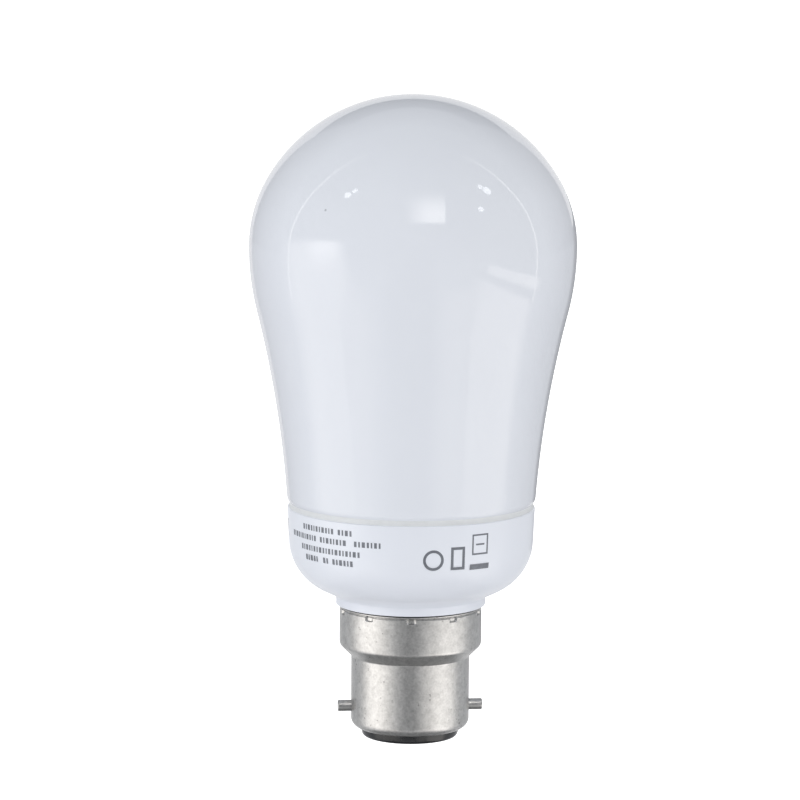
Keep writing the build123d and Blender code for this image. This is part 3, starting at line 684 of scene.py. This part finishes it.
def solder_mound(contact_y):
    """A mound of solder on its contact plate, worn flat where the holder touches it."""
    outline = Outline(0, CONTACT_FOOT_Z)
    outline.to(SOLDER_RADIUS, CONTACT_FOOT_Z)
    outline.rounded(
        [(SOLDER_RADIUS - 0.12, SOLDER_SHOULDER_Z, 0.1), (SOLDER_FLAT_RADIUS, 0, 0.8)],
        (0, 0),
        6,
    )
    shape = outline.turned(SMALL_STEPS)
    bmesh.ops.translate(shape, verts=shape.verts[:], vec=(0, contact_y * MM, 0))
    return shape


piece("opal_globe", glass_bulb(), GLASS, "opal_glass", "glass_bulb")
piece("ballast_housing", housing(), PLASTIC, "housing_plastic", "housing")
piece("cement_bead", cement_bead(), CEMENT, "cement", "bulb_cement")
piece("bayonet_shell", cap_shell(), CAP_METAL, "cap_metal", "cap_shell")
piece("bayonet_pin_1", locking_pin(1), PIN_METAL, "pin_metal", "locking_pin_1")
piece("bayonet_pin_2", locking_pin(-1), PIN_METAL, "pin_metal", "locking_pin_2")
piece("base_insulator", cap_insulator(), BLACK_GLASS, "black_glass", "cap_insulator")
for number, contact_y in ((1, CONTACT_Y), (2, -CONTACT_Y)):
    name = f"contact_solder_{number}"
    piece(f"base_contact_{number}", solder_mound(contact_y), SOLDER, "solder", name)

# Every CAD node that stays gets the finish of its own material slot
slots = {row["node"]: row["material_slot"] for row in frame["record"]["subparts"]}
for name, node in frame["nodes"].items():
    if slots[name] in FINISHES:
        node.data.materials.clear()
        node.data.materials.append(FINISHES[slots[name]])


# Printed marks: plain bars and simple shapes on the collar, in millimetres of the way round
# from its front and of height

PRINT_FRONT = -95.3
INK_LIFT = 0.002
INK_THICKNESS = 0.02
INK_STEP = 0.5
RING_STEPS = 48
BLOCK_ROWS = [
    (41.8, [(-23.4, -15.0), (-14.0, -10.6)]),
    (39.95, [(-27.9, -19.3), (-18.4, -11.7), (-10.6, -4.7)]),
    (38.0, [(-24.2, -8.9)]),
    (36.2, [(-22.8, -18.4), (-17.7, -16.2), (-15.4, -10.7)]),
]
BLOCK_WIDTHS = (0.5, 0.32, 0.62, 0.4, 0.28)
BLOCK_HEIGHT = 1.0
BLOCK_GAP = 0.36


def collar_reach(z):
    """The housing's radius at a height on the collar or on the upper part of the bowl."""
    if z >= COLLAR_FOOT_Z:
        share = (z - COLLAR_FOOT_Z) / (RIM_Z - COLLAR_FOOT_Z)
        return COLLAR_RADIUS + share * (RIM_RADIUS - COLLAR_RADIUS)
    hub = COLLAR_RADIUS - BOWL_ARC
    return hub + sqrt(BOWL_ARC**2 - (COLLAR_FOOT_Z - z) ** 2)


def lay_on_collar(shape):
    """Wraps flat marks on the collar: X is the way round, Y the height, Z the ink."""
    for vert in shape.verts:
        round_way, height, ink = (part / MM for part in vert.co)
        angle = radians(PRINT_FRONT) + round_way / COLLAR_RADIUS
        reach = collar_reach(height) + ink
        vert.co = Vector((reach * cos(angle), reach * sin(angle), height)) * MM


def give_ink_depth(shape, faces):
    """Turns flat faces into ink that stands a little proud of the plastic."""
    raised = bmesh.ops.extrude_face_region(shape, geom=faces, use_keep_orig=True)
    top = [part for part in raised["geom"] if isinstance(part, bmesh.types.BMVert)]
    bmesh.ops.translate(shape, verts=top, vec=(0, 0, INK_THICKNESS * MM))


def bar(shape, x, y, width, height):
    """One bar of ink, finely enough divided to follow the collar."""
    size = Matrix.Diagonal((width / 2 * MM, height / 2 * MM, 1, 1))
    place = Matrix.Translation(Vector((x, y, INK_LIFT)) * MM)
    steps = max(2, int(width / INK_STEP))
    made = bmesh.ops.create_grid(
        shape, x_segments=steps, y_segments=2, size=1.0, matrix=place @ size
    )
    faces = {face for vert in made["verts"] for face in vert.link_faces}
    give_ink_depth(shape, list(faces))


def ring(shape, x, y, radius, width):
    """One ring of ink."""
    place = Matrix.Translation(Vector((x, y, INK_LIFT)) * MM)
    made = bmesh.ops.create_circle(
        shape, radius=radius * MM, segments=RING_STEPS, matrix=place
    )
    edges = list({edge for vert in made["verts"] for edge in vert.link_edges})
    inner = bmesh.ops.extrude_edge_only(shape, edges=edges)
    verts = [part for part in inner["geom"] if isinstance(part, bmesh.types.BMVert)]
    share = (radius - width) / radius
    hub = Matrix.Translation((-x * MM, -y * MM, 0))
    bmesh.ops.scale(shape, vec=(share, share, 1), space=hub, verts=verts)
    faces = [part for part in inner["geom"] if isinstance(part, bmesh.types.BMFace)]
    give_ink_depth(shape, faces)


def frame_of_ink(shape, x, y, width, height, line):
    """A plain rectangular frame of ink."""
    for side in (-1, 1):
        bar(shape, x, y + side * (height - line) / 2, width, line)
        bar(shape, x + side * (width - line) / 2, y, line, height - 2 * line)


def row_of_blocks(shape, height, left, right):
    """Blocks of ink of unlike widths, from left to right as far as they fit."""
    for width in cycle(BLOCK_WIDTHS):
        if left + width > right:
            return
        bar(shape, left + width / 2, height, width, BLOCK_HEIGHT)
        left += width + BLOCK_GAP


def printed_marks():
    """Rows of plain blocks on the left, and a ring, two frames and a bar on the right."""
    shape = bmesh.new()
    for height, stretches in BLOCK_ROWS:
        for left, right in stretches:
            row_of_blocks(shape, height, left, right)
    ring(shape, 4.1, 37.4, radius=1.9, width=0.5)
    frame_of_ink(shape, 8.7, 37.6, width=2.7, height=4.2, line=0.5)
    frame_of_ink(shape, 13.2, 39.9, width=3.4, height=3.8, line=0.3)
    bar(shape, 13.2, 39.9, width=1.8, height=0.3)
    bar(shape, 13.2, 35.8, width=4.1, height=1.0)
    bar(shape, -33.5, 40.0, width=1.0, height=3.2)
    lay_on_collar(shape)
    return shape


piece("collar_print", printed_marks(), INK, "housing_plastic")

# Studio, in metres: a pale floor far below the hanging lamp and a white surround light it
# evenly. Round it stands a grey tent, open behind, with lamps and cards that only its gloss
# shows. The tent's roof also holds back soft light, and the fill on the left adds some.

CENTRE = Vector((0, 0, 0.065))
SURROUND_LEVEL = 1.065
FLOOR_Z = -0.9
FLOOR_RADIUS = 40.0
FLOOR_LIFT = 0.6
LAMP_TONE = (1.0, 0.97, 0.94, 1.0)
CLOTH_TONE = (0.95, 0.97, 1.0, 1.0)

# Tent: its angles go round from its back, and its dark sill stands behind on the right
TENT_RADIUS = 1.25
TENT_TOP = 1.3
TENT_OPENING = 27.0
OPENING_TOP = 0.7
TENT_LEVEL = 0.47
TENT_BACK_LEVEL = 0.25
TENT_LOW_LEVEL = 0.62
TENT_STEPS = 48
ROOF_LEVEL = 0.57
ROOF_OVERHANG = 1.02
SILL_LEVEL = 0.25
SILL_FOOT = -0.25
SILL_TOP = 0.06
SILL_END = -0.5

# Hoop: a leaning arch of light, which fades where it nears the crown
HOOP_RADIUS = 0.9
HOOP_WIDTH = 0.018
HOOP_LEVEL = 3.0
HOOP_START = 17
HOOP_SWEEP = 214
HOOP_STEPS = 96
HOOP_BACK = 0.08
HOOP_LEAN = 5
HOOP_DARK_TO = 0.15
HOOP_BRIGHT_FROM = 0.85

# Soft lamps: level, size, soft edges (left, right, lower, upper), and their places as
# azimuth, elevation, distance and roll
SOFT_LAMPS = {
    "low_left": (1.4, (0.56, 0.5), (0.1, 0.24, 0.12, 0.2), (-47, -29, 0.64)),
    "softbox_left": (1.95, (0.78, 0.68), (0.26, 0.18, 0.2, 0.1), (-71, -17, 0.62, 7)),
    "hot_patch": (3.7, (0.4, 0.26), (0.2, 0.14, 0.2, 0.06), (-64, 0, 0.6, 7)),
    "low_right": (1.3, (0.5, 0.46), (0.2, 0.1, 0.12, 0.06), (38, -32, 0.64)),
    "softbox_right": (2.0, (0.76, 0.46), (0.24, 0.18, 0.12, 0.03), (66, -33, 0.62, -10)),
    "light_bar": (2.2, (0.56, 0.056), (0.02, 0.1, 0.02, 0.012), (77, -9.4, 0.6, -6)),
    "front_window": (4.3, (0.36, 0.38), (0.25, 0.012, 0.05, 0.27), (8.1, 42.2, 0.7)),
}

# Cards: the grey one under the cap, and the fill on the left
UNDER_LEVEL = 0.25
FILL_LEVEL = 2.0

# Sparkles: the size of each small lamp, and its azimuth and elevation
SPARKLE_LEVEL = 6.0
SPARKLE_DISTANCE = 0.88
SPARKLES = [
    (0.07, -60.4, 44),
    (0.05, -57, 48.3),
    (0.05, 68.2, 48.8),
    (0.08, 71.5, 45),
    (0.06, 55.6, 34.7),
]


def seen_rays(tree, *kinds):
    """One for the kinds of rays that see the background as white."""
    path = add(tree, "ShaderNodeLightPath").outputs
    seen = path[kinds[0]]
    for kind in kinds[1:]:
        seen = maths(tree, "MAXIMUM", seen, path[kind])
    return seen


def white_world():
    """A world that is white behind the lamp and gives a plain level of fill light."""
    world = bpy.data.worlds.new("white_surround")
    world.use_nodes = True
    tree = world.node_tree
    seen = seen_rays(tree, "Is Camera Ray", "Is Glossy Ray", "Is Transmission Ray")
    level = ramp(tree, seen, 0.0, 1.0, SURROUND_LEVEL, 1.0)
    sky = tree.nodes["Background"]
    sky.inputs["Color"].default_value = colour(1, 1, 1)
    tree.links.new(level, sky.inputs["Strength"])
    bpy.context.scene.world = world


def floor_finish():
    """Pale floor: lit and shaded like paper, and lifted to white for the background."""
    material, tree, shader, _ = new_material("floor_paper")
    shader.inputs["Base Color"].default_value = colour(0.85, 0.85, 0.86)
    shader.inputs["Roughness"].default_value = 0.9
    shader.inputs["Emission Color"].default_value = colour(1, 1, 1)
    seen = seen_rays(tree, "Is Camera Ray", "Is Transmission Ray")
    lift = maths(tree, "MULTIPLY", seen, FLOOR_LIFT)
    tree.links.new(lift, shader.inputs["Emission Strength"])
    return material


def glow_finish(name, level, tone, mask=None):
    """A glowing face. A mask of its own coordinates, if given, says where it is seen."""
    material = bpy.data.materials.new(name)
    material.use_nodes = True
    tree = material.node_tree
    tree.nodes.clear()
    face = add(tree, "ShaderNodeEmission", {"Color": tone, "Strength": level})
    if mask:
        place = add(tree, "ShaderNodeTexCoord").outputs["Object"]
        parts = add(tree, "ShaderNodeSeparateXYZ", {"Vector": place}).outputs
        clear = add(tree, "ShaderNodeBsdfTransparent").outputs[0]
        sides = {0: mask(tree, parts), 1: clear, 2: face.outputs[0]}
        face = add(tree, "ShaderNodeMixShader", sides)
    end = add(tree, "ShaderNodeOutputMaterial")
    tree.links.new(face.outputs[0], end.inputs["Surface"])
    return material


def plain_glow(name, level):
    """An even glow, for a wall or a plain card."""
    return glow_finish(name, level, CLOTH_TONE)


def soft_edges(size, edges):
    """A mask that thins out over a face's left, right, lower and upper edges."""

    def mask(tree, parts):
        inside = 1.0
        for part, whole, low, high in zip(parts, size, edges[::2], edges[1::2]):
            half = whole / 2
            for start, end in ((-half, low - half), (half, half - high)):
                fade = ramp(tree, part, start, end, kind="SMOOTHSTEP")
                inside = maths(tree, "MULTIPLY", fade, inside)
        return inside

    return mask


def aimed(azimuth, elevation, distance, roll=0.0):
    """A place round the lamp that faces it. Azimuth 0 is the camera's side, 90 the right."""
    a, e = radians(azimuth + CAMERA_ROUND), radians(elevation)
    out = Vector((sin(a) * cos(e), -cos(a) * cos(e), sin(e)))
    facing = out.to_track_quat("Z", "Y").to_matrix().to_4x4()
    tilt = Matrix.Rotation(radians(roll), 4, "Z")
    return Matrix.Translation(CENTRE + out * distance) @ facing @ tilt


def stage_object(name, shape, material, matrix=None):
    """A part of the studio that only gloss shows: the camera and soft light pass it."""
    mesh = bpy.data.meshes.new(name)
    shape.to_mesh(mesh)
    shape.free()
    mesh.materials.append(material)
    made = bpy.data.objects.new(name, mesh)
    bpy.context.scene.collection.objects.link(made)
    if matrix is not None:
        made.matrix_world = matrix
    made.visible_camera = False
    made.visible_diffuse = False
    made.visible_shadow = False
    return made


def card(name, material, size, *aim):
    """A flat card of a size, aimed at the object."""
    shape = bmesh.new()
    width, height = size
    spread = Matrix.Diagonal((width / 2, height / 2, 1, 1))
    bmesh.ops.create_grid(shape, x_segments=1, y_segments=1, size=1.0, matrix=spread)
    return stage_object(name, shape, material, aimed(*aim))


def softbox(name, level, size, edges, *aim, tone=LAMP_TONE):
    """A lamp with a soft face, aimed at the object."""
    face = glow_finish(f"{name}_face", level, tone, soft_edges(size, edges))
    return card(name, face, size, *aim)


def small_lamp(number, size, *aim):
    """A small round lamp, whose reflection is a sparkle."""
    shape = bmesh.new()
    bmesh.ops.create_circle(shape, cap_ends=True, radius=size / 2, segments=24)
    name = f"small_lamp_{number}"
    stage_object(name, shape, plain_glow(f"{name}_face", SPARKLE_LEVEL), aimed(*aim))


def floor():
    """A wide round floor, which the camera sees and soft light falls on."""
    shape = bmesh.new()
    place = Matrix.Translation((0, 0, FLOOR_Z))
    bmesh.ops.create_circle(
        shape, cap_ends=True, radius=FLOOR_RADIUS, segments=96, matrix=place
    )
    made = stage_object("pale_floor", shape, floor_finish())
    made.visible_camera = True
    made.visible_diffuse = True
    made.visible_shadow = True


def tent_wall(name, level, first, last, bottom, top):
    """A stretch of the round tent between two angles from its back, and two heights."""
    shape = bmesh.new()
    start = Vector((0, TENT_RADIUS, 0))
    start.rotate(Matrix.Rotation(radians(first + CAMERA_ROUND), 3, "Z"))
    low = shape.verts.new(start + Vector((0, 0, bottom)))
    high = shape.verts.new(start + Vector((0, 0, top)))
    edge = shape.edges.new((low, high))
    bmesh.ops.spin(
        shape,
        geom=[low, high, edge],
        cent=(0, 0, 0),
        axis=(0, 0, 1),
        angle=radians(last - first),
        steps=TENT_STEPS,
    )
    stage_object(name, shape, plain_glow(f"{name}_cloth", level))


def tent_roof():
    """The tent's roof, which also takes some of the soft light from above."""
    shape = bmesh.new()
    place = Matrix.Translation((0, 0, TENT_TOP))
    radius = TENT_RADIUS * ROOF_OVERHANG
    bmesh.ops.create_circle(shape, cap_ends=True, radius=radius, segments=64, matrix=place)
    made = stage_object("tent_roof", shape, plain_glow("roof_cloth", ROOF_LEVEL))
    made.visible_diffuse = True
    made.visible_shadow = True


def hoop_mask(tree, parts):
    """The hoop's line fades out where it nears the crown."""
    aside = maths(tree, "ABSOLUTE", parts[0])
    dark, bright = HOOP_RADIUS * HOOP_DARK_TO, HOOP_RADIUS * HOOP_BRIGHT_FROM
    return ramp(tree, aside, dark, bright, kind="SMOOTHSTEP")


def light_hoop():
    """The tent's bright hoop, whose thin line of light runs over the globe."""
    shape = bmesh.new()
    start = Vector((HOOP_RADIUS, 0, 0))
    start.rotate(Matrix.Rotation(radians(HOOP_START), 3, "Y"))
    half = Vector((0, HOOP_WIDTH / 2, 0))
    near, far = shape.verts.new(start - half), shape.verts.new(start + half)
    edge = shape.edges.new((near, far))
    bmesh.ops.spin(
        shape,
        geom=[near, far, edge],
        cent=(0, 0, 0),
        axis=(0, -1, 0),
        angle=radians(HOOP_SWEEP),
        steps=HOOP_STEPS,
    )
    around = Matrix.Rotation(radians(CAMERA_ROUND), 4, "Z")
    back = Matrix.Translation((0, HOOP_BACK, 0))
    lean = Matrix.Rotation(radians(HOOP_LEAN), 4, "X")
    place = Matrix.Translation(CENTRE) @ around @ back @ lean
    glow = glow_finish("hoop_lamp", HOOP_LEVEL, LAMP_TONE, hoop_mask)
    stage_object("light_hoop", shape, glow, place)


white_world()
floor()
side_end = 360 - TENT_OPENING
tent_wall("tent_sides", TENT_LEVEL, TENT_OPENING, side_end, 0.0, TENT_TOP)
tent_wall("tent_skirt", TENT_LOW_LEVEL, TENT_OPENING, side_end, FLOOR_Z, 0.0)
tent_wall("tent_back", TENT_BACK_LEVEL, -TENT_OPENING, TENT_OPENING, OPENING_TOP, TENT_TOP)
tent_wall("tent_sill", SILL_LEVEL, -TENT_OPENING, SILL_END, SILL_FOOT, SILL_TOP)
tent_roof()
light_hoop()
dark_edges = (0.12, 0.12, 0.2, 0.2)
softbox("dark_front", 0.29, (0.54, 0.9), dark_edges, -1, -17, 0.74, tone=CLOTH_TONE)
for name, (level, size, edges, aim) in SOFT_LAMPS.items():
    softbox(name, level, size, edges, *aim)
for number, (size, azimuth, elevation) in enumerate(SPARKLES, 1):
    small_lamp(number, size, azimuth, elevation, SPARKLE_DISTANCE)
card("under_card", plain_glow("under_cloth", UNDER_LEVEL), (0.5, 0.5), 0, -89.9, 0.35)
fill = card("left_fill", plain_glow("fill_cloth", FILL_LEVEL), (0.45, 0.45), -60, 15, 0.9)
fill.visible_diffuse = True
fill.visible_glossy = False


# Camera


def make_camera():
    """The camera at the photograph's place, with its long lens."""
    data = bpy.data.cameras.new("studio_camera")
    data.lens = CAMERA_LENS
    data.sensor_width = SENSOR
    camera = bpy.data.objects.new("studio_camera", data)
    bpy.context.scene.collection.objects.link(camera)
    around = Matrix.Rotation(radians(CAMERA_ROUND), 4, "Z")
    stand = Matrix.Translation(Vector((0, -CAMERA_DISTANCE, CAMERA_HEIGHT)) * MM)
    aim = Matrix.Rotation(radians(CAMERA_AIM), 4, "Z")
    pitch = Matrix.Rotation(radians(90 + CAMERA_PITCH), 4, "X")
    roll = Matrix.Rotation(radians(CAMERA_ROLL), 4, "Z")
    camera.matrix_world = around @ stand @ aim @ pitch @ roll
    bpy.context.scene.camera = camera


make_camera()
bpy.context.scene.view_settings.view_transform = "Standard"
